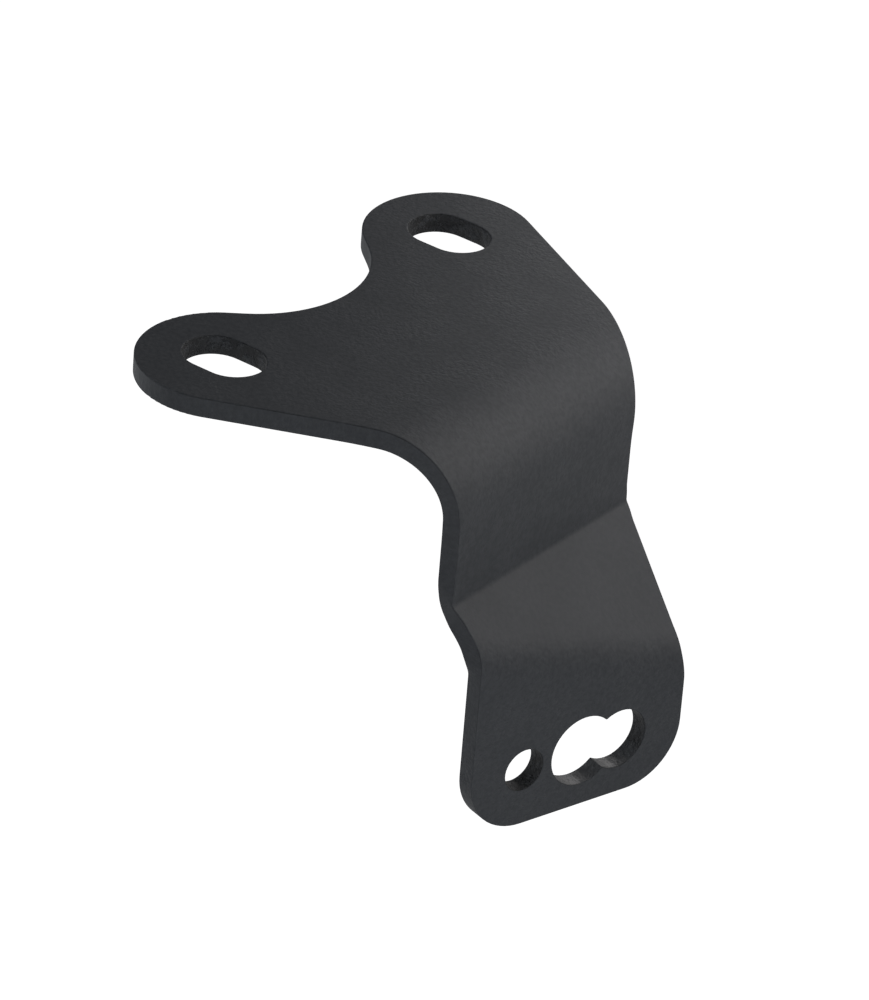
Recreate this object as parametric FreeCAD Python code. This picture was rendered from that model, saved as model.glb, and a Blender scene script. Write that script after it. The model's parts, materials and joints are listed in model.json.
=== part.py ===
import FreeCAD, Part
import math
import os

# Indicator lamp bracket: one steel sheet, cut to a blank with two lugs and a foot, then folded three times.
# Frame: +Z is up and the origin lies midway between the two slots, on the upper face of the top plate.
# +X runs along the slots towards the drop, and +Y runs from the near lug to the far lug.
# The blank is drawn in its developed plane with its show face up. The top plate lies there as it does on
# the finished bracket, and each fold then carries everything that lies beyond it.

# Sheet
SHEET = 3.0                  # thickness, coat included
EDGE_ROUND = 0.2             # rounding of the cut edges

# Top plate with its two slotted lugs
SLOT_SPACING = 50.0          # between the slots' centres, along Y
SLOT_WIDTH = 9.2
SLOT_LENGTH = 12.4           # along X, over the round ends
LUG_RADIUS = 12.35           # round end of a lug, about its slot's centre
THROAT_REACH = 0.85          # how far the hollow between the lugs passes the slots' centre line
THROAT_FLANK = 3.0           # straight edge between a lug's round end and that hollow
NEAR_LUG_FLARE = 25.0        # degrees between the near lug's outer edge and X
FAR_LUG_FLARE = 28.0         # degrees between the far lug's outer edge and X
TOP_LENGTH = 27.4            # from the slots' centre line to the first fold

# First fold, down from the top plate
TOP_FOLD_ANGLE = 90.0
TOP_FOLD_RADIUS = 12.0       # on the show face

# Strip between the first and second folds
STRIP_LENGTH = 11.7
STRIP_NEAR = 22.15           # from the middle plane to the near edge
STRIP_FAR = 17.1             # from the middle plane to the far edge
NEAR_HOLLOW_RADIUS = 64.0    # where the near lug's edge runs into the strip
FAR_HOLLOW_RADIUS = 35.0     # where the far lug's edge runs into the strip

# Second fold, back out to the ramp
CREASE_ANGLE = 45.0
CREASE_RADIUS = 1.0          # on the show face
CREASE_BACK_RADIUS = 8.0     # on the back, where the sheet is stretched
CREASE_SPREAD = 2.6          # how far the cut edges are out of line on each side of the fold
CREASE_SWELL = 0.4           # how far the cut edges swell out on the show face
CREASE_DRAW = 0.25           # how far the cut edges are drawn in on the back
CREASE_CORNER_RADIUS = 12.0  # far edge, where the strip's edge turns into the ramp's

# Ramp and the third fold, which runs askew so that the foot stands upright and turned
RAMP_LENGTH = 13.75          # in the middle plane, between the second and third folds
FOOT_TURN = 16.4             # degrees that the foot's show face is turned towards the near side
FOOT_FOLD_RADIUS = 7.7       # on the show face
FOOT_FOLD_SPREAD = 0.8       # how far the cut edges are out of line on each side of the fold
FOOT_FOLD_SWELL = 0.4        # how far the cut edges swell out on the back
FOOT_FOLD_DRAW = 0.2         # how far the cut edges are drawn in on the show face
HIP_RADIUS = 28.0            # where the ramp's edges turn into the foot's

# Foot with its row of holes: the first hole stands plumb below the line from the origin square to the foot
HOLE_ROW_DROP = 14.4         # from the end of the third fold down to the row, at the first hole
FIRST_HOLE = 6.4             # diameters along the row, from the near side
SECOND_HOLE = 10.7
THIRD_HOLE = 9.1
FIRST_TO_SECOND = 10.1       # along the row, between centres
SECOND_TO_THIRD = 6.2
CUSP_ROUND = 0.15            # rounding of the points where the second and third holes run together
FOOT_NEAR_MARGIN = 9.0       # from the first hole's centre to the near edge
FOOT_FAR_MARGIN = 10.8       # from the third hole's centre to the far edge
FOOT_LOWER_MARGIN = 8.8      # from the row to the lower edge
FOOT_NEAR_CORNER = 9.1
FOOT_FAR_CORNER = 8.8

# Construction values
UP = FreeCAD.Vector(0, 0, 1)
FLAT = FreeCAD.Placement()
REACH = 10 * SLOT_SPACING    # wider than the blank
RULINGS = 10                 # steps in which a cut edge is carried through a fold
MATCH = 1e-6                 # within which a point lies on a line
RIM_ANGLE = 60.0             # degrees of turn above which two faces meet in a cut edge
CUTTER_SHARE = 0.25          # share of the way to a fold's axis at which its cutters end


class Fold:
    """A fold of the blank: a band of the developed plane that is rolled about an axis along the band."""

    spread = 0.0

    def __init__(self, before, start, skew, radius, angle):
        """Set the fold at a start line through a developed point, turning down if its angle is positive."""
        self.before = before
        self.start = start
        self.along = FreeCAD.Vector(math.sin(skew), math.cos(skew), 0)
        self.across = self.along.cross(UP)
        self.angle = angle
        self.radius = radius
        self.width = radius * math.radians(abs(angle))
        self.centre = start - UP * math.copysign(radius, angle)
        self.after = self.carry(self.width)

    def carry(self, past):
        """Return the placement of the developed points that lie this far past the start line."""
        rolled = min(max(past, 0), self.width)
        turn = FreeCAD.Rotation(self.along, self.angle * rolled / self.width)
        roll = FreeCAD.Placement(FreeCAD.Vector(), turn, self.centre)
        return self.before * roll * FreeCAD.Placement(self.across * -rolled, FreeCAD.Rotation())

    def span(self, height):
        """Return the cut edges' length at a height above the show face, as it counts at their ends."""
        return self.width * (1 + height / math.copysign(self.radius, self.angle))

    def swell(self, height, share):
        """Return how far a cut edge swells out at a height, this share of the way along it."""
        return 0.0

    def clearance(self):
        """Return how far the fold's cutters stand clear of the sheet, short of the fold's axis."""
        inner = self.radius - SHEET if self.angle > 0 else self.radius
        return min(inner, SHEET) * CUTTER_SHARE

    def end(self):
        """Return the developed point where the band ends, straight across from the start point."""
        return self.start + self.across * self.width

    def entry(self):
        """Return the developed point where the fold's own cut edges begin."""
        return self.start - self.across * self.spread

    def exit(self):
        """Return the developed point where the fold's own cut edges end."""
        return self.end() + self.across * self.spread

    def band(self):
        """Return the face between entry and exit in the developed plane, longer than the blank is wide."""
        return quad(self.entry(), self.exit(), self.along, self.along)

    def sector(self):
        """Return the rolled band as a solid, longer than the blank is wide."""
        near = self.start - self.along * REACH
        far = self.start + self.along * REACH
        inner = UP * SHEET
        section = Part.Face(Part.makePolygon([near, far, far - inner, near - inner, near]))
        rolled = section.revolve(self.centre, self.along, self.angle)
        rolled.Placement = self.before * rolled.Placement
        return rolled


class TightFold(Fold):
    """A tight fold, whose cut edges swell on its inner side and are drawn in on its outer side."""

    def __init__(self, before, start, skew, radius, angle, back_radius, spread, swell, draw):
        """Set the fold, its radius on the back, and how far its cut edges are out of line."""
        super().__init__(before, start, skew, radius, angle)
        self.back_radius = back_radius
        self.spread = spread
        self.show_swell = -draw if angle > 0 else swell
        self.back_swell = swell if angle > 0 else -draw

    def span(self, height):
        """Return the cut edges' length at a height above the show face, as it counts at their ends."""
        return self.width + 2 * self.spread

    def swell(self, height, share):
        """Return how far a cut edge swells out at a height, this share of the way along it."""
        hump = max(0, 1 - (2 * share - 1) ** 2) ** 2
        return hump * (self.show_swell + (self.show_swell - self.back_swell) * height / SHEET)

    def face_run(self, height, radius):
        """Return the edges of the fold's section at a height, with this radius between its two flats."""
        rise = UP * height
        rolled_radius = self.radius + math.copysign(height, -self.angle)
        reach = rolled_radius * math.tan(math.radians(abs(self.angle)) / 2)
        first = self.before.multVec(self.entry() + rise)
        corner = self.before.multVec(self.start + self.across * reach + rise)
        last = self.after.multVec(self.exit() + rise)
        return rounded_run([first, corner, last], [radius])

    def sector(self):
        """Return the rolled band and the flats beside it as a solid, longer than the blank is wide."""
        show = Part.Wire(self.face_run(0, self.radius))
        back = Part.Wire(self.face_run(-SHEET, self.back_radius))
        ends = []
        for end in (0, -1):
            ends.append(Part.makeLine(show.OrderedVertexes[end].Point, back.OrderedVertexes[end].Point))
        section = Part.Face(Part.Wire(Part.sortEdges(show.Edges + back.Edges + ends)[0]))
        length = self.before.Rotation.multVec(self.along) * REACH
        return section.translated(-length).extrude(length * 2)


def quad(first, second, first_along, second_along):
    """Return the developed face between two lines, each given by a point and a direction."""
    corners = [first - first_along * REACH, first + first_along * REACH]
    corners += [second + second_along * REACH, second - second_along * REACH]
    return Part.Face(Part.makePolygon(corners + corners[:1]))


def polar(centre, radius, angle):
    """Return the developed point at this radius and angle, in radians, about a centre."""
    return centre + FreeCAD.Vector(math.cos(angle), math.sin(angle), 0) * radius


def crossing(point, direction, other, other_direction):
    """Return the developed point where two lines cross."""
    side = FreeCAD.Vector(-other_direction.y, other_direction.x, 0)
    return point + direction * ((other - point).dot(side) / direction.dot(side))


def arc(start, middle, end):
    """Return the arc edge through three points."""
    return Part.Arc(start, middle, end).toShape()


def rounded_corner(before, corner, after, radius):
    """Return the three points of the arc that rounds a corner between its two neighbours."""
    back = (before - corner).normalize()
    ahead = (after - corner).normalize()
    half = back.getAngle(ahead) / 2
    reach = radius / math.tan(half)
    inward = (back + ahead).normalize()
    middle = corner + inward * (radius / math.sin(half) - radius)
    return corner + back * reach, middle, corner + ahead * reach


def rounded_run(points, radii):
    """Return the edges of an open run of straight lines whose inner corners are rounded."""
    edges = []
    last = points[0]
    for index, radius in enumerate(radii, start=1):
        start, middle, end = rounded_corner(points[index - 1], points[index], points[index + 1], radius)
        edges += [Part.makeLine(last, start), arc(start, middle, end)]
        last = end
    return edges + [Part.makeLine(last, points[-1])]


def make_folds():
    """Return the three folds in order."""
    top = Fold(FLAT, FreeCAD.Vector(TOP_LENGTH, 0, 0), 0, TOP_FOLD_RADIUS, TOP_FOLD_ANGLE)
    crease_start = top.end() + top.across * STRIP_LENGTH
    crease = TightFold(top.after, crease_start, 0, CREASE_RADIUS, -CREASE_ANGLE,
                       CREASE_BACK_RADIUS, CREASE_SPREAD, CREASE_SWELL, CREASE_DRAW)
    slope = math.radians(TOP_FOLD_ANGLE - CREASE_ANGLE)
    turn = math.radians(FOOT_TURN)
    skew = math.atan(math.tan(turn) / math.cos(slope))
    angle = math.degrees(math.acos(math.sin(slope) * math.cos(turn)))
    foot_start = crease.end() + crease.across * RAMP_LENGTH
    foot = TightFold(crease.after, foot_start, skew, FOOT_FOLD_RADIUS, angle,
                     FOOT_FOLD_RADIUS - SHEET, FOOT_FOLD_SPREAD, FOOT_FOLD_SWELL, FOOT_FOLD_DRAW)
    return top, crease, foot


class Foot:
    """The foot's own grid: along the row from the first hole, and down from the row."""

    def __init__(self, fold):
        """Find the first hole, below the end of the fold and in line with the origin square to the foot."""
        self.fold = fold
        turn = math.radians(FOOT_TURN)
        self.row = FreeCAD.Vector(math.sin(turn), math.cos(turn), 0)
        line_point = fold.after.multVec(fold.end())
        line = fold.after.Rotation.multVec(fold.along)
        plumb = line_point - line * (line_point.dot(self.row) / line.dot(self.row))
        self.first_hole = plumb - UP * HOLE_ROW_DROP

    def point(self, along, down):
        """Return the developed point of a place on the foot's grid."""
        return self.fold.after.inverse().multVec(self.first_hole + self.row * along - UP * down)

    def hip(self, along):
        """Return the developed point where an upright edge of the foot reaches the start of the fold."""
        low = self.point(along, FOOT_LOWER_MARGIN)
        rise = self.point(along, 0) - low
        return crossing(low, rise, self.fold.start, self.fold.along)


def blank_outline(crease, foot):
    """Return the outer wire of the blank, from the far lug round the foot and back."""
    near_slot = FreeCAD.Vector(0, -SLOT_SPACING / 2, 0)
    far_slot = FreeCAD.Vector(0, SLOT_SPACING / 2, 0)
    near_flare = math.radians(NEAR_LUG_FLARE)
    far_flare = math.radians(FAR_LUG_FLARE)
    near_start = near_flare - math.pi / 2
    far_start = math.pi / 2 - far_flare
    near_tangent = polar(near_slot, LUG_RADIUS, near_start)
    far_tangent = polar(far_slot, LUG_RADIUS, far_start)
    near_direction = FreeCAD.Vector(math.cos(near_flare), math.sin(near_flare), 0)
    far_direction = FreeCAD.Vector(math.cos(far_flare), -math.sin(far_flare), 0)
    along_strip = FreeCAD.Vector(1, 0, 0)
    near_neck = crossing(near_tangent, near_direction, FreeCAD.Vector(0, -STRIP_NEAR, 0), along_strip)
    far_neck = crossing(far_tangent, far_direction, FreeCAD.Vector(0, STRIP_FAR, 0), along_strip)
    crease_corner = crease.end() + crease.along * STRIP_FAR
    far_edge = FIRST_TO_SECOND + SECOND_TO_THIRD + FOOT_FAR_MARGIN
    far_low = foot.point(far_edge, FOOT_LOWER_MARGIN)
    near_low = foot.point(-FOOT_NEAR_MARGIN, FOOT_LOWER_MARGIN)
    far_side = [far_tangent, far_neck, crease_corner, foot.hip(far_edge), far_low]
    near_side = [near_low, foot.hip(-FOOT_NEAR_MARGIN), near_neck, near_tangent]
    far_radii = [FAR_HOLLOW_RADIUS, CREASE_CORNER_RADIUS, HIP_RADIUS, FOOT_FAR_CORNER]
    near_radii = [FOOT_NEAR_CORNER, HIP_RADIUS, NEAR_HOLLOW_RADIUS]
    edges = rounded_run(far_side + near_side, far_radii + near_radii)
    return Part.Wire(edges + lug_ends(near_slot, far_slot, near_start, far_start))


def lug_ends(near_slot, far_slot, near_start, far_start):
    """Return the round ends of the lugs and the hollow between them, from the near lug's edge on."""
    half = SLOT_SPACING / 2
    to_flank = half ** 2 + THROAT_REACH ** 2 - LUG_RADIUS ** 2 - THROAT_FLANK ** 2
    throat_radius = to_flank / (2 * (LUG_RADIUS + THROAT_REACH))
    throat_centre = FreeCAD.Vector(THROAT_REACH - throat_radius, 0, 0)
    lean = math.atan2(half, throat_radius - THROAT_REACH)
    lean -= math.atan2(THROAT_FLANK, LUG_RADIUS + throat_radius)
    near_end = math.pi - lean
    near_middle = (near_start + near_end) / 2 + math.pi
    far_end = math.pi + lean
    far_middle = (far_start + far_end) / 2
    near_points = [polar(near_slot, LUG_RADIUS, angle) for angle in (near_start, near_middle, near_end)]
    far_points = [polar(far_slot, LUG_RADIUS, angle) for angle in (far_end, far_middle, far_start)]
    throat_points = [polar(throat_centre, throat_radius, angle) for angle in (-lean, 0, lean)]
    near_flank = Part.makeLine(near_points[-1], throat_points[0])
    far_flank = Part.makeLine(throat_points[-1], far_points[0])
    return [arc(*near_points), near_flank, arc(*throat_points), far_flank, arc(*far_points)]


def slot_face(middle):
    """Return one slot of the top plate as a face."""
    radius = SLOT_WIDTH / 2
    half = FreeCAD.Vector(SLOT_LENGTH / 2 - radius, 0, 0)
    side = FreeCAD.Vector(0, radius, 0)
    end = FreeCAD.Vector(SLOT_LENGTH / 2, 0, 0)
    right = arc(middle + half - side, middle + end, middle + half + side)
    upper = Part.makeLine(middle + half + side, middle - half + side)
    left = arc(middle - half + side, middle - end, middle - half - side)
    lower = Part.makeLine(middle - half - side, middle + half - side)
    return Part.Face(Part.Wire([right, upper, left, lower]))


def round_face(middle, diameter):
    """Return a round hole as a face."""
    return Part.Face(Part.Wire(Part.makeCircle(diameter / 2, middle)))


def double_face(second, third):
    """Return the second and third holes as one face, with the points between them rounded."""
    ahead = third - second
    spread = ahead.Length
    big = SECOND_HOLE / 2
    small = THIRD_HOLE / 2
    aim = math.atan2(ahead.y, ahead.x)
    big_lean = math.acos(((big + CUSP_ROUND) ** 2 + spread ** 2 - (small + CUSP_ROUND) ** 2)
                         / (2 * spread * (big + CUSP_ROUND)))
    edges = []
    ends = []
    for side in (1, -1):
        tip = polar(second, big + CUSP_ROUND, aim + side * big_lean)
        on_big = second + (tip - second).normalize() * big
        on_small = third + (tip - third).normalize() * small
        outward = ((on_big + on_small) / 2 - tip).normalize()
        edges.append(arc(on_big, tip + outward * CUSP_ROUND, on_small))
        ends.append((on_big, on_small))
    edges.append(arc(ends[0][0], polar(second, big, aim + math.pi), ends[1][0]))
    edges.append(arc(ends[0][1], polar(third, small, aim), ends[1][1]))
    return Part.Face(Part.Wire(Part.sortEdges(edges)[0]))


def make_blank(crease, foot):
    """Return the flat blank with its slots and holes."""
    slots = [slot_face(FreeCAD.Vector(0, side * SLOT_SPACING / 2, 0)) for side in (-1, 1)]
    first = round_face(foot.point(0, 0), FIRST_HOLE)
    second_and_third = double_face(foot.point(FIRST_TO_SECOND, 0),
                                   foot.point(FIRST_TO_SECOND + SECOND_TO_THIRD, 0))
    return Part.Face(blank_outline(crease, foot)).cut(slots + [first, second_and_third])


def make_plate(blank, region, placement):
    """Return the flat part of the sheet that covers a region of the blank."""
    plate = blank.common(region).extrude(UP * -SHEET)
    plate.Placement = placement * plate.Placement
    return plate


def outline_at(fold, band, past, side):
    """Return the outline's place along a line of the fold, on one side, and its slope there."""
    for edge in band.Edges:
        for parameter in (edge.FirstParameter, edge.LastParameter):
            offset = edge.valueAt(parameter) - fold.start
            tangent = edge.tangentAt(parameter)
            place = offset.dot(fold.along)
            ahead = tangent.dot(fold.across)
            on_line = abs(offset.dot(fold.across) - past) < MATCH
            if on_line and place * side > 0 and abs(ahead) > MATCH:
                return place, tangent.dot(fold.along) / ahead
    raise ValueError("the outline doesn't cross this fold")


def blend(start, end, width, share):
    """Return the cubic between two ends, each a place and a slope, this share of the way across a width."""
    rest = 1 - share
    rising = share ** 2 * (3 - 2 * share)
    leaving = start[1] * width * share * rest ** 2
    arriving = end[1] * width * share ** 2 * rest
    return start[0] * (1 - rising) + end[0] * rising + leaving - arriving


def cut_edge(fold, start, end, side):
    """Return the solid outside one cut edge of a fold, which leads smoothly from plate to plate."""
    length = fold.width + 2 * fold.spread
    rulings = round(RULINGS * length / fold.width)
    shares = [index / rulings for index in range(-1, rulings + 2)]
    lines = []
    for height in (fold.clearance(), -SHEET - fold.clearance()):
        points = []
        for share in shares:
            past = share * length - fold.spread
            place = blend(start, end, fold.span(height), share) + side * fold.swell(height, share)
            flat = fold.start + fold.across * past + fold.along * place + UP * height
            points.append(fold.carry(past).multVec(flat))
        curve = Part.BSplineCurve()
        curve.interpolate(Points=points, Parameters=shares)
        lines.append(curve.toShape())
    wall = Part.makeRuledSurface(lines[0], lines[1])
    return wall.extrude(fold.before.Rotation.multVec(fold.along) * (side * REACH))


def make_bend(blank, fold):
    """Return the rolled part of the sheet in a fold, with its cut edges."""
    band = blank.common(fold.band())
    cutters = []
    for side in (-1, 1):
        start = outline_at(fold, band, -fold.spread, side)
        end = outline_at(fold, band, fold.width + fold.spread, side)
        cutters.append(cut_edge(fold, start, end, side))
    return fold.sector().cut(cutters)


def rim_edges(solid):
    """Return the cut edges of the sheet, where a face of the sheet meets the cut through it."""
    rims = []
    for edge in solid.Edges:
        faces = solid.ancestorsOfType(edge, Part.Face)
        if len(faces) != 2:
            continue
        middle = edge.valueAt((edge.FirstParameter + edge.LastParameter) / 2)
        normals = [face.normalAt(*face.Surface.parameter(middle)) for face in faces]
        if math.degrees(normals[0].getAngle(normals[1])) > RIM_ANGLE:
            rims.append(edge)
    return rims


def make_bracket():
    """Return the finished bracket."""
    top, crease, foot_fold = make_folds()
    foot = Foot(foot_fold)
    blank = make_blank(crease, foot)
    lug_end = FreeCAD.Vector(-REACH, 0, 0)
    beyond = foot_fold.exit() + foot_fold.across * REACH
    regions = [
        (quad(lug_end, top.start, top.along, top.along), FLAT),
        (quad(top.end(), crease.entry(), top.along, crease.along), top.after),
        (quad(crease.exit(), foot_fold.entry(), crease.along, foot_fold.along), crease.after),
        (quad(foot_fold.exit(), beyond, foot_fold.along, foot_fold.along), foot_fold.after),
    ]
    pieces = [make_plate(blank, region, placement) for region, placement in regions]
    pieces += [make_bend(blank, fold) for fold in (top, crease, foot_fold)]
    sheet = pieces[0].multiFuse(pieces[1:]).removeSplitter().Solids[0]
    return sheet.makeFillet(EDGE_ROUND, rim_edges(sheet))


def main():
    """Build the bracket and write it."""
    os.makedirs("parts", exist_ok=True)
    bracket = make_bracket()
    bracket.exportStep("parts/lamp_bracket.step")
    box = bracket.optimalBoundingBox()
    print("solids", len(bracket.Solids), "valid", bracket.isValid(), "volume", round(bracket.Volume, 1))
    print("box", [round(v, 2) for v in (box.XMin, box.YMin, box.ZMin, box.XMax, box.YMax, box.ZMax)])


main()
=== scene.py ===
"""Indicator lamp bracket: the coat on its folded sheet, and the plain studio that it is seen in."""

import json
import logging
import math
from dataclasses import dataclass
from enum import Enum
from typing import Mapping, Optional, Sequence, Union

import bmesh
import bpy
from mathutils import Matrix, Vector


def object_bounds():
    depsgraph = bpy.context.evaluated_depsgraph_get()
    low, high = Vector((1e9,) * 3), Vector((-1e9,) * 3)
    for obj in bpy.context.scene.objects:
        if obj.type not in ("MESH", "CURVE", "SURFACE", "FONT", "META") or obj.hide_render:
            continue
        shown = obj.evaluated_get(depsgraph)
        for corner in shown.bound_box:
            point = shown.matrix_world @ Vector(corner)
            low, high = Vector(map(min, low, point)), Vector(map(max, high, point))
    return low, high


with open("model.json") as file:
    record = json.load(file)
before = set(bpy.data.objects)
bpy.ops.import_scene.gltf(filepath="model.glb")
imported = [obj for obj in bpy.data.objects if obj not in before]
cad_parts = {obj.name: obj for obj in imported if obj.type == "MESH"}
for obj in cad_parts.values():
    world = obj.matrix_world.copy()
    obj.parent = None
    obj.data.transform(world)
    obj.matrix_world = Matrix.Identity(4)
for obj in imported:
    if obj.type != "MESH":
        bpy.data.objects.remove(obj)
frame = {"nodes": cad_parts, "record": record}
CAD_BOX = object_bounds()

MM = 0.001
MOUNTS = {mount["name"]: mount for mount in frame["record"]["mounts"]}
WHITE = (1.0, 1.0, 1.0, 1.0)
NOISE_MEAN = 0.5   # of every cloudy pattern
NOISE_FADE = 0.6   # strength of each finer pattern in a cloudy one, as a share of the one before

Pair = tuple[float, float]
Triple = tuple[float, float, float]
Quad = tuple[float, float, float, float]
Value = Union["Signal", bpy.types.NodeSocket, float, Sequence[float]]
Settings = Optional[Mapping[str, object]]
Inputs = Optional[Mapping[Union[str, int], Value]]


class Blend(Enum):
    """How two colours are put together."""

    MIX = "MIX"
    MULTIPLY = "MULTIPLY"


class Tint(Enum):
    """The colour of a lamp's light."""

    WARM = (1.0, 0.97, 0.945)
    PLAIN = (1.0, 0.985, 0.985)
    COOL = (0.90, 0.945, 1.0)


def opaque(colour: Triple) -> Quad:
    """Return a colour with full cover."""
    return (*colour, 1.0)


def direction(azimuth: float, elevation: float) -> Vector:
    """Return the unit vector at an azimuth from +X and an elevation, both in degrees."""
    turn, lift = math.radians(azimuth), math.radians(elevation)
    return Vector((math.cos(lift) * math.cos(turn), math.cos(lift) * math.sin(turn), math.sin(lift)))


@dataclass(frozen=True)
class Signal:
    """A shader socket. Arithmetic on it adds Math nodes to its tree."""

    board: "NodeBoard"
    socket: bpy.types.NodeSocket

    def __add__(self, other: Value) -> "Signal":
        """Return the sum."""
        return self.board.math("ADD", self, other)

    def __radd__(self, other: Value) -> "Signal":
        """Return the sum, with this signal second."""
        return self.board.math("ADD", other, self)

    def __sub__(self, other: Value) -> "Signal":
        """Return the difference."""
        return self.board.math("SUBTRACT", self, other)

    def __rsub__(self, other: Value) -> "Signal":
        """Return what is left of the other value without this signal."""
        return self.board.math("SUBTRACT", other, self)

    def __mul__(self, other: Value) -> "Signal":
        """Return the product."""
        return self.board.math("MULTIPLY", self, other)

    def __rmul__(self, other: Value) -> "Signal":
        """Return the product, with this signal second."""
        return self.board.math("MULTIPLY", other, self)

    def __abs__(self) -> "Signal":
        """Return the size of this signal, without its sign."""
        return self.board.math("ABSOLUTE", self)

    def at_least(self, low: Value) -> "Signal":
        """Return the greater of this signal and a value."""
        return self.board.math("MAXIMUM", self, low)

    def at_most(self, high: Value) -> "Signal":
        """Return the lesser of this signal and a value."""
        return self.board.math("MINIMUM", self, high)

    def within(self, limit: Value) -> "Signal":
        """Return 1 where this signal is less than a limit, and 0 elsewhere."""
        return self.board.math("LESS_THAN", self, limit)

    def hump(self) -> "Signal":
        """Return what is 1 where this share is a half, and falls to 0 where it is 0 or 1."""
        return self * (1.0 - self) * 4.0

    def ramp(self, low: float, high: float) -> "Signal":
        """Return this signal as a share of the way from low to high, held between 0 and 1."""
        inputs = {"Value": self, "From Min": low, "From Max": high}
        return self.board.signal("ShaderNodeMapRange", {"clamp": True}, inputs, "Result")

    def dot(self, other: Value) -> "Signal":
        """Return the dot product of this vector and another."""
        return self.board.vector_math("DOT_PRODUCT", "Value", self, other)

    def distance(self, point: Value) -> "Signal":
        """Return the distance between the points that this vector and another lead to."""
        return self.board.vector_math("DISTANCE", "Value", self, point)

    def normalized(self) -> "Signal":
        """Return this vector at the length of 1."""
        return self.board.vector_math("NORMALIZE", "Vector", self)


class NodeBoard:
    """The node tree of one material or of the world."""

    def __init__(self, tree: bpy.types.NodeTree) -> None:
        """Take a tree and empty it."""
        self.tree = tree
        tree.nodes.clear()

    def node(self, kind: str, settings: Settings = None, inputs: Inputs = None) -> bpy.types.Node:
        """Add a node.

        Args:
            kind: the node's type.
            settings: what is set on the node itself, before its sockets.
            inputs: the values or links of its sockets, by name or number.

        Returns:
            The new node.
        """
        made = self.tree.nodes.new(kind)
        for name, setting in (settings or {}).items():
            setattr(made, name, setting)
        for name, value in (inputs or {}).items():
            source = value.socket if isinstance(value, Signal) else value
            if isinstance(source, bpy.types.NodeSocket):
                self.tree.links.new(source, made.inputs[name])
            else:
                made.inputs[name].default_value = source
        return made

    def signal(self, kind: str, settings: Settings = None, inputs: Inputs = None,
               output: Union[str, int] = 0) -> Signal:
        """Add a node and return one of its outputs, which is given by name or number."""
        return Signal(self, self.node(kind, settings, inputs).outputs[output])

    def math(self, operation: str, *values: Value) -> Signal:
        """Return the result of a Math node on these values."""
        return self.signal("ShaderNodeMath", {"operation": operation}, dict(enumerate(values)))

    def vector_math(self, operation: str, output: str, *values: Value) -> Signal:
        """Return one output of a Vector Math node on these values."""
        inputs = dict(enumerate(values))
        return self.signal("ShaderNodeVectorMath", {"operation": operation}, inputs, output)

    def colour(self, blend: Blend, share: Value, first: Value, second: Value) -> Signal:
        """Return the first colour with this share of the second one over it."""
        settings = {"data_type": "RGBA", "blend_type": blend.value}
        return self.signal("ShaderNodeMix", settings, {0: share, 6: first, 7: second}, 2)

    def between(self, share: Value, first: Value, second: Value) -> Signal:
        """Return the vector this share of the way from the first to the second."""
        return self.signal("ShaderNodeMix", {"data_type": "VECTOR"}, {0: share, 4: first, 5: second}, 1)

    def vector(self, *parts: Value) -> Signal:
        """Return the vector with these three parts."""
        return self.signal("ShaderNodeCombineXYZ", None, dict(enumerate(parts)))

    def parts(self, vector: Signal) -> tuple[Signal, ...]:
        """Return the three parts of a vector."""
        split = self.node("ShaderNodeSeparateXYZ", None, {0: vector})
        return tuple(Signal(self, output) for output in split.outputs)

    def noise(self, place: Signal, size: float, detail: float) -> Signal:
        """Return a cloudy pattern at a point, with spots of this size and this many finer ones in it."""
        inputs = {"Vector": place, "Scale": 1 / size, "Detail": detail, "Roughness": NOISE_FADE}
        return self.signal("ShaderNodeTexNoise", {"noise_dimensions": "3D"}, inputs)


def new_material(name: str) -> tuple[bpy.types.Material, NodeBoard]:
    """Make a material.

    Args:
        name: what it is called.

    Returns:
        The material, and its empty node tree.
    """
    material = bpy.data.materials.new(name)
    material.use_nodes = True
    return material, NodeBoard(material.node_tree)


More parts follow.
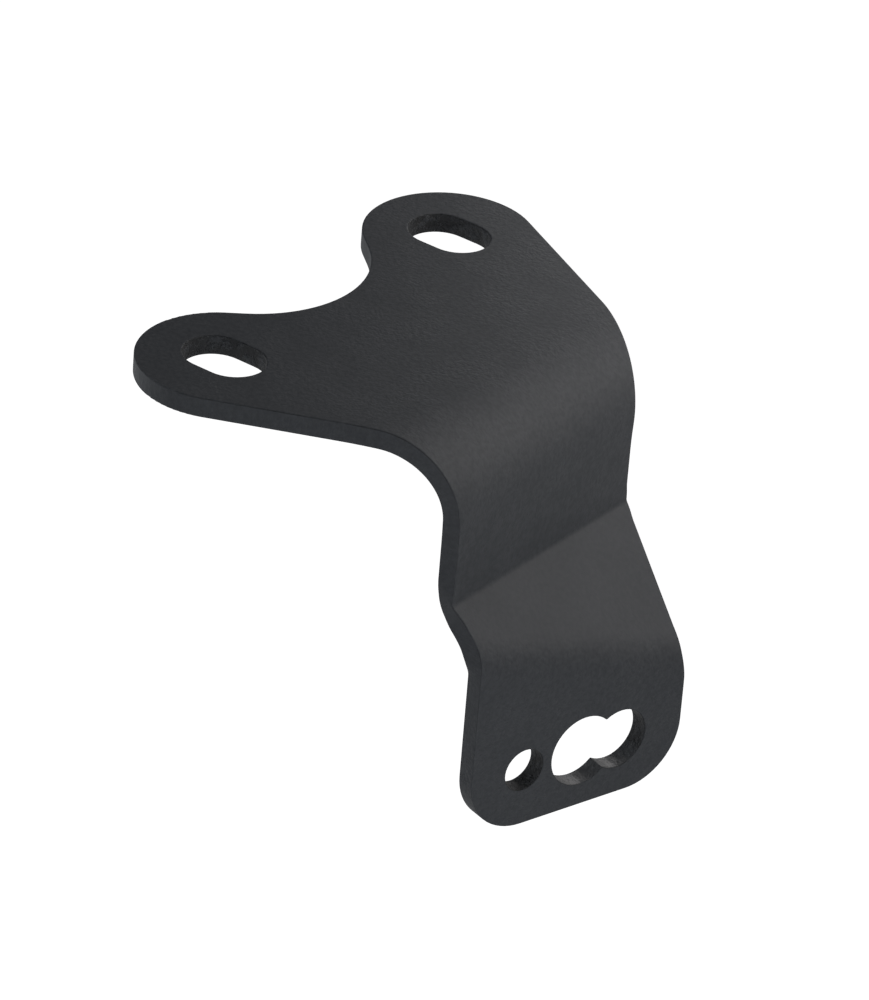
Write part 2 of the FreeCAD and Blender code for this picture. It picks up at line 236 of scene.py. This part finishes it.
@dataclass(frozen=True)
class SheetLie:
    """How the folded sheet lies, worked out in a shader from a point on it."""

    top_length: float = 27.4 * MM
    top_fold_radius: float = 12.0 * MM
    strip_length: float = 11.7 * MM
    crease_radius: float = 1.0 * MM
    crease_angle: float = math.radians(45.0)
    crease_blur: float = 0.3 * MM
    foot_turn: float = math.radians(16.4)
    foot_fold_top: float = -34.1 * MM
    foot_fold_end: float = -40.2 * MM
    slot_side: float = MOUNTS["slot_pair"]["dims"]["spacing_y_mm"] / 2 * MM
    slot_reach: float = 8.0 * MM
    hole_row: float = -MOUNTS["foot_hole"]["pos_m"][2]
    hole_sides: Triple = (0.0, 10.1 * MM, 16.3 * MM)
    hole_reaches: Triple = (4.5 * MM, 6.6 * MM, 5.8 * MM)

    def shares(self, place: Signal) -> tuple[Signal, Signal]:
        """Find on which stretch of the sheet a point lies.

        Args:
            place: the point.

        Returns:
            Its share of the stretch above the crease, and below that its share of the foot.
        """
        out = self.top_length + self.top_fold_radius + self.crease_radius
        crease_axis = Vector((out, 0.0, -self.top_fold_radius - self.strip_length))
        across = Vector((-math.sin(self.crease_angle / 2), 0.0, math.cos(self.crease_angle / 2)))
        edge = across.dot(crease_axis)
        above = place.dot(tuple(across)).ramp(edge - self.crease_blur, edge + self.crease_blur)
        drop = place.dot((0.0, math.tan(self.foot_turn), 1.0))
        return above, drop.ramp(self.foot_fold_top, self.foot_fold_end)

    def round_fold(self, board: NodeBoard, place: Signal) -> tuple[Signal, Signal]:
        """Return how far a point lies past the start of the first fold and above its axis, at least 0."""
        along, _, height = board.parts(place)
        return (along - self.top_length).at_least(0.0), (height + self.top_fold_radius).at_least(0.0)

    def facing(self, board: NodeBoard, place: Signal) -> Signal:
        """Find which way the show face looks.

        Args:
            board: the tree to work in.
            place: the point.

        Returns:
            The direction, as a vector.
        """
        above, foot = self.shares(place)
        past, over = self.round_fold(board, place)
        ramp_facing = (math.sin(self.crease_angle), 0.0, math.cos(self.crease_angle))
        foot_facing = (math.cos(self.foot_turn), -math.sin(self.foot_turn), 0.0)
        lower = board.between(foot, ramp_facing, foot_facing)
        return board.between(above, lower.normalized(), board.vector(past, 0.0, over).normalized())

    def flat_place(self, board: NodeBoard, place: Signal) -> Signal:
        """Find where a point lies on the flat blank, before the folds.

        Args:
            board: the tree to work in.
            place: the point.

        Returns:
            The place, which stays the same through the thickness of the sheet.
        """
        along, side, height = board.parts(place)
        above, foot = self.shares(place)
        past, over = self.round_fold(board, place)
        rolled = board.math("ARCTAN2", past, over) * self.top_fold_radius
        hung = (-self.top_fold_radius - height).at_least(0.0)
        upper = along.at_most(self.top_length) + rolled + hung
        ramp = along * math.cos(self.crease_angle) - height * math.sin(self.crease_angle)
        lower = ramp * (1.0 - foot) - height * foot
        row = place.dot((math.sin(self.foot_turn), math.cos(self.foot_turn), 0.0))
        return board.vector(upper * above + lower * (1.0 - above), side * (1.0 - foot) + row * foot, 0.0)

    def holes(self, board: NodeBoard, place: Signal) -> tuple[Signal, Signal, Signal]:
        """Find whether a point lies in or about a slot or a hole.

        Args:
            board: the tree to work in.
            place: the point.

        Returns:
            1 about the slots, about the small hole and about the lamp hole, each in turn, and 0 elsewhere.
        """
        flat = self.flat_place(board, place)
        above, foot = self.shares(place)
        near, far = (flat.distance((0.0, side, 0.0)) for side in (-self.slot_side, self.slot_side))
        small, wide, narrow = (
            foot * flat.distance((self.hole_row, side, 0.0)).within(reach)
            for side, reach in zip(self.hole_sides, self.hole_reaches)
        )
        return above * near.at_most(far).within(self.slot_reach), small, wide.at_least(narrow)


@dataclass(frozen=True)
class Pattern:
    """A cloudy pattern in the coat, and the two of its levels between which it is spread."""

    size: float
    detail: float
    low: float
    high: float

    def level(self, board: NodeBoard, place: Signal) -> Signal:
        """Return the pattern at a point."""
        return board.noise(place, self.size, self.detail)

    def spread(self, level: Signal) -> Signal:
        """Return a level of the pattern as a share of the way from low to high."""
        return level.ramp(self.low, self.high)

    def share(self, board: NodeBoard, place: Signal) -> Signal:
        """Return the pattern at a point, spread."""
        return self.spread(self.level(board, place))


@dataclass(frozen=True)
class CoatSignals:
    """What the coat varies with at a point: its patterns, and how far the point lies on the cut."""

    grain: Signal
    ripple: Signal
    clouds: Signal
    marks: Signal
    patches: Signal
    roughing: Signal
    wall: Signal
    rim: Signal
    slots: Signal
    deep: Signal
    painted_glint_floors: Signal


@dataclass(frozen=True)
class PowderCoat:
    """Matt black powder coat with a fine grain, over cut edges that still show the marks of the cut;
    painted shade darkens the rims of the cut and the walls of the slots and holes, and a painted highlight
    lightens the up-facing floors of the lamp hole.
    """

    name: str = "powder_coat"

    # Patterns
    grain: Pattern = Pattern(0.42 * MM, 2.0, 0.3, 0.7)
    ripple: Pattern = Pattern(0.75 * MM, 1.0, 0.35, 0.65)
    clouds: Pattern = Pattern(9.0 * MM, 1.0, 0.35, 0.65)
    marks: Pattern = Pattern(0.8 * MM, 3.0, 0.3, 0.7)
    # breaks up the painted shade along the rims of the cut
    rim_breaks: Pattern = Pattern(3.0 * MM, 5.0, 0.36, 0.56)
    patches: Pattern = Pattern(1.3 * MM, 3.0, 0.46, 0.62)

    # Relief, and how it changes over the sheet
    grain_depth: float = 0.034 * MM
    ripple_depth: float = 0.048 * MM
    mark_depth: float = 0.04 * MM
    patch_depth: float = 0.2 * MM
    mark_lean: float = 0.3
    least_relief: float = 0.5
    ramp_grain: float = 0.45
    foot_grain: float = 2.4

    # Gloss
    roughness: float = 0.65
    roughness_spread: float = 0.16
    # lower roughness on the lamp hole's floors, where the highlight is painted
    glint_floor_gloss: float = 0.2

    # Colour of the coat, from dark to pale
    colour: Triple = (0.0225, 0.0250, 0.0292)
    pale_colour: Triple = (0.0445, 0.0470, 0.0515)
    paleness: float = 0.4
    cloud_paleness: float = 0.2
    grain_paleness: float = 0.35
    ripple_paleness: float = 0.45

    # Walls of the cut: by how far they turn from the show face, and how dark they are, with painted shade
    # on the rims and in the slots and holes
    wall_limits: Pair = (0.3, 0.8)
    mark_shade: Triple = (0.8, 0.8, 0.81)
    painted_rim_shade: Triple = (0.3, 0.3, 0.31)
    # painted shade on the walls of the slots and holes, standing in for the shade inside them
    painted_slot_shade: Triple = (0.3, 0.3, 0.305)
    painted_hole_shade: Triple = (0.05, 0.05, 0.052)
    patch_cover: float = 0.5

    # Floors of the lamp hole, by how far they face up, where a highlight is painted: paler and glossier
    floor_limits: Pair = (0.55, 1.0)
    painted_glint_colour: Triple = (0.068, 0.069, 0.071)
    least_glint: float = 0.4

    def read(self, board: NodeBoard, lie: SheetLie) -> CoatSignals:
        """Read everything that the coat varies with.

        Args:
            board: the tree to work in.
            lie: how the coated sheet lies.

        Returns:
            The signals.
        """
        coordinates = board.node("ShaderNodeTexCoord")
        place, normal = (Signal(board, coordinates.outputs[kind]) for kind in ("Object", "Normal"))
        wall = 1.0 - abs(normal.dot(lie.facing(board, place))).ramp(*self.wall_limits)
        slots, small_hole, lamp_hole = (wall * share for share in lie.holes(board, place))
        # painted highlight: the up-facing floors of the lamp hole are made paler and glossier
        painted_glint_floors = lamp_hole * board.parts(normal)[2].ramp(*self.floor_limits)
        above, foot = lie.shares(place)
        lower_roughing = self.ramp_grain + foot * (self.foot_grain - self.ramp_grain)
        cut_place = board.between(self.mark_lean, lie.flat_place(board, place), place)
        return CoatSignals(
            grain=self.grain.level(board, place),
            ripple=self.ripple.level(board, place),
            clouds=self.clouds.share(board, place),
            marks=self.marks.share(board, cut_place),
            patches=self.patches.share(board, place),
            roughing=above + (1.0 - above) * lower_roughing,
            wall=wall,
            # painted shade along the rounded rims of the cut, broken up in places
            rim=wall.hump() * self.rim_breaks.share(board, place),
            slots=slots,
            # the walls of the small hole and the lamp hole take painted shade, except the floors that get
            # the painted highlight
            deep=small_hole + lamp_hole * (1.0 - painted_glint_floors),
            painted_glint_floors=painted_glint_floors,
        )

    def relief(self, seen: CoatSignals) -> Signal:
        """Work out the relief of the coat.

        Args:
            seen: what it varies with.

        Returns:
            Its height.
        """
        grain = seen.grain * self.grain_depth + seen.ripple * self.ripple_depth
        coat = grain * (self.least_relief + seen.clouds) * seen.roughing
        cut = seen.marks * seen.wall * self.mark_depth
        return coat + (cut + seen.patches * (seen.slots + seen.deep) * self.patch_depth)

    def tone(self, board: NodeBoard, seen: CoatSignals) -> Signal:
        """Work out the colour of the coat, with its painted shade and painted highlight.

        Args:
            board: the tree to work in.
            seen: what it varies with.

        Returns:
            The colour.
        """
        grain = (self.grain.spread(seen.grain) - NOISE_MEAN) * self.grain_paleness
        ripple = (self.ripple.spread(seen.ripple) - NOISE_MEAN) * self.ripple_paleness
        speckle = (grain + ripple) * seen.roughing.at_most(1.0)
        paleness = self.paleness + seen.clouds * self.cloud_paleness + speckle
        tone = board.colour(Blend.MIX, paleness, opaque(self.colour), opaque(self.pale_colour))
        shades = (
            (seen.wall * (1.0 - seen.marks), self.mark_shade),
            # painted shade along the rims of the cut
            (seen.rim, self.painted_rim_shade),
            # painted shade on the walls of the slots and holes, broken up by the patches
            (seen.slots * (1.0 - seen.patches), self.painted_slot_shade),
            (seen.deep * (1.0 - seen.patches * self.patch_cover), self.painted_hole_shade),
        )
        for share, shade in shades:
            tone = board.colour(Blend.MULTIPLY, share, tone, opaque(shade))
        # painted highlight, paler in patches, on the up-facing floors of the lamp hole
        glint = seen.painted_glint_floors * (self.least_glint + seen.patches * (1.0 - self.least_glint))
        return board.colour(Blend.MIX, glint, tone, opaque(self.painted_glint_colour))

    def material(self, lie: SheetLie) -> bpy.types.Material:
        """Make the coat's material.

        Args:
            lie: how the coated sheet lies.

        Returns:
            The material.
        """
        material, board = new_material(self.name)
        seen = self.read(board, lie)
        heights = {"Height": self.relief(seen), "Strength": 1.0, "Distance": 1.0}
        grain_roughness = self.roughness + (seen.grain - NOISE_MEAN) * self.roughness_spread
        shader = board.signal("ShaderNodeBsdfPrincipled", None, {
            "Base Color": self.tone(board, seen),
            "Roughness": grain_roughness - seen.painted_glint_floors * self.glint_floor_gloss,
            "Normal": board.signal("ShaderNodeBump", None, heights, "Normal"),
        })
        board.node("ShaderNodeOutputMaterial", None, {"Surface": shader})
        return material


@dataclass(frozen=True)
class FoldedBracket:
    """The bracket itself: the sheet from the frame, which keeps its shape and gets its coat."""

    node: str = "lamp_bracket"
    slot: str = "powder_coat"
    lie: SheetLie = SheetLie()

    def dress(self, coat: PowderCoat) -> bpy.types.Object:
        """Coat the sheet.

        Args:
            coat: the finish to put on it.

        Returns:
            The dressed sheet.
        """
        sheet = frame["nodes"][self.node]
        sheet.data.materials.clear()
        sheet.data.materials.append(coat.material(self.lie))
        return sheet


@dataclass(frozen=True)
class Viewpoint:
    """The photograph's viewpoint, as a camera on a sphere about a point of the bracket."""

    name: str = "photo_camera"
    target: Triple = (18.53 * MM, 0.67 * MM, -25.80 * MM)
    azimuth: float = -54.538
    elevation: float = 30.213
    roll: float = math.radians(4.681)
    distance: float = 951.2 * MM
    focal_length: float = 246.51
    sensor: float = 36.0

    def place(self) -> bpy.types.Object:
        """Set up the scene's camera.

        Returns:
            The camera.
        """
        back = direction(self.azimuth, self.elevation)
        level = Vector((-back.y, back.x, 0.0)).normalized()
        right = level * math.cos(self.roll) + back.cross(level) * math.sin(self.roll)
        axes = Matrix((right, back.cross(right), back)).transposed()
        data = bpy.data.cameras.new(self.name)
        data.lens = self.focal_length
        data.sensor_width = self.sensor
        camera = bpy.data.objects.new(self.name, data)
        camera.matrix_world = Matrix.Translation(Vector(self.target) + back * self.distance) @ axes.to_4x4()
        bpy.context.scene.collection.objects.link(camera)
        bpy.context.scene.camera = camera
        return camera


@dataclass(frozen=True)
class Softbox:
    """A square studio lamp that looks at the bracket, as far off and as wide as a fill if not told."""

    name: str
    azimuth: float
    elevation: float
    power: float
    tint: Tint
    distance: float = 250.0 * MM
    side: float = 300.0 * MM

    def place(self, target: Vector) -> bpy.types.Object:
        """Hang the lamp.

        Args:
            target: the point that it looks at.

        Returns:
            The lamp.
        """
        away = direction(self.azimuth, self.elevation)
        data = bpy.data.lights.new(self.name, "AREA")
        data.shape = "SQUARE"
        data.size = self.side
        data.energy = self.power
        data.color = self.tint.value
        lamp = bpy.data.objects.new(self.name, data)
        lamp.location = target + away * self.distance
        lamp.visible_camera = False
        lamp.rotation_euler = away.to_track_quat("Z", "Y").to_euler()
        bpy.context.scene.collection.objects.link(lamp)
        return lamp


@dataclass(frozen=True)
class Studio:
    """A white studio: soft lamps, a pale floor well below the bracket, and an even white surround."""

    lamps: tuple[Softbox, ...] = (
        Softbox("high_key", 50.0, 57.0, 0.056, Tint.PLAIN, distance=160.0 * MM, side=100.0 * MM),
        Softbox("far_key", 100.0, 20.0, 0.062, Tint.PLAIN, distance=140.0 * MM, side=100.0 * MM),
        Softbox("right_key", 35.0, 32.0, 0.092, Tint.WARM, distance=160.0 * MM, side=100.0 * MM),
        Softbox("low_fill", 320.0, -10.0, 0.285, Tint.COOL),
        Softbox("near_fill", 250.0, 42.0, 0.13, Tint.COOL),
        Softbox("back_fill", 195.0, 8.0, 0.21, Tint.COOL),
    )
    surround: float = 0.05
    floor_drop: float = 250.0 * MM
    floor_side: float = 8000.0 * MM
    floor_colour: Triple = (0.85, 0.85, 0.85)
    floor_lift: float = 1.0
    floor_gleam: float = 0.45

    def light_surround(self) -> None:
        """Make the world white to the camera, and an even dim white to everything else."""
        world = bpy.data.worlds.new("surround")
        bpy.context.scene.world = world
        world.use_nodes = True
        board = NodeBoard(world.node_tree)
        seen = board.signal("ShaderNodeLightPath", None, None, "Is Camera Ray")
        strength = seen * (1.0 - self.surround) + self.surround
        sky = board.signal("ShaderNodeBackground", None, {"Color": WHITE, "Strength": strength})
        board.node("ShaderNodeOutputWorld", None, {"Surface": sky})

    def floor_paper(self) -> bpy.types.Material:
        """Make the floor's material, which takes shadows and looks white to the camera.

        Returns:
            The material.
        """
        material, board = new_material("floor_paper")
        paths = board.node("ShaderNodeLightPath")
        seen, mirrored, through = (Signal(board, paths.outputs[f"Is {kind} Ray"])
                                   for kind in ("Camera", "Glossy", "Transmission"))
        paper = board.signal("ShaderNodeBsdfDiffuse", None, {"Color": opaque(self.floor_colour)})
        lift = (seen + through) * self.floor_lift + mirrored * self.floor_gleam
        glow = board.signal("ShaderNodeEmission", None, {"Color": WHITE, "Strength": lift})
        both = board.signal("ShaderNodeAddShader", None, {0: paper, 1: glow})
        board.node("ShaderNodeOutputMaterial", None, {"Surface": both})
        return material

    def lay_floor(self) -> bpy.types.Object:
        """Lay the floor.

        Returns:
            The floor.
        """
        mesh = bpy.data.meshes.new("floor")
        shape = bmesh.new()
        bmesh.ops.create_grid(shape, x_segments=1, y_segments=1, size=self.floor_side / 2)
        shape.to_mesh(mesh)
        shape.free()
        mesh.materials.append(self.floor_paper())
        floor = bpy.data.objects.new("floor", mesh)
        floor.location.z = CAD_BOX[0].z - self.floor_drop
        bpy.context.scene.collection.objects.link(floor)
        return floor

    def build(self) -> list[bpy.types.Object]:
        """Light the surround, lay the floor and hang the lamps about the middle of the bracket.

        Returns:
            The floor and the lamps.
        """
        self.light_surround()
        middle = (CAD_BOX[0] + CAD_BOX[1]) / 2
        return [self.lay_floor()] + [lamp.place(middle) for lamp in self.lamps]


def main() -> None:
    """Dress the bracket, then set up the studio and the camera."""
    logging.basicConfig(level=logging.INFO, format="%(message)s")
    log = logging.getLogger("bracket")
    bpy.context.scene.view_settings.view_transform = "Standard"
    sheet = FoldedBracket().dress(PowderCoat())
    log.info("%s: %d faces", sheet.name, len(sheet.data.polygons))
    for piece in Studio().build():
        log.info("%s: in place", piece.name)
    camera = Viewpoint().place()
    log.info("%s: %.1f mm lens", camera.name, camera.data.lens)


if __name__ == "__main__":
    main()
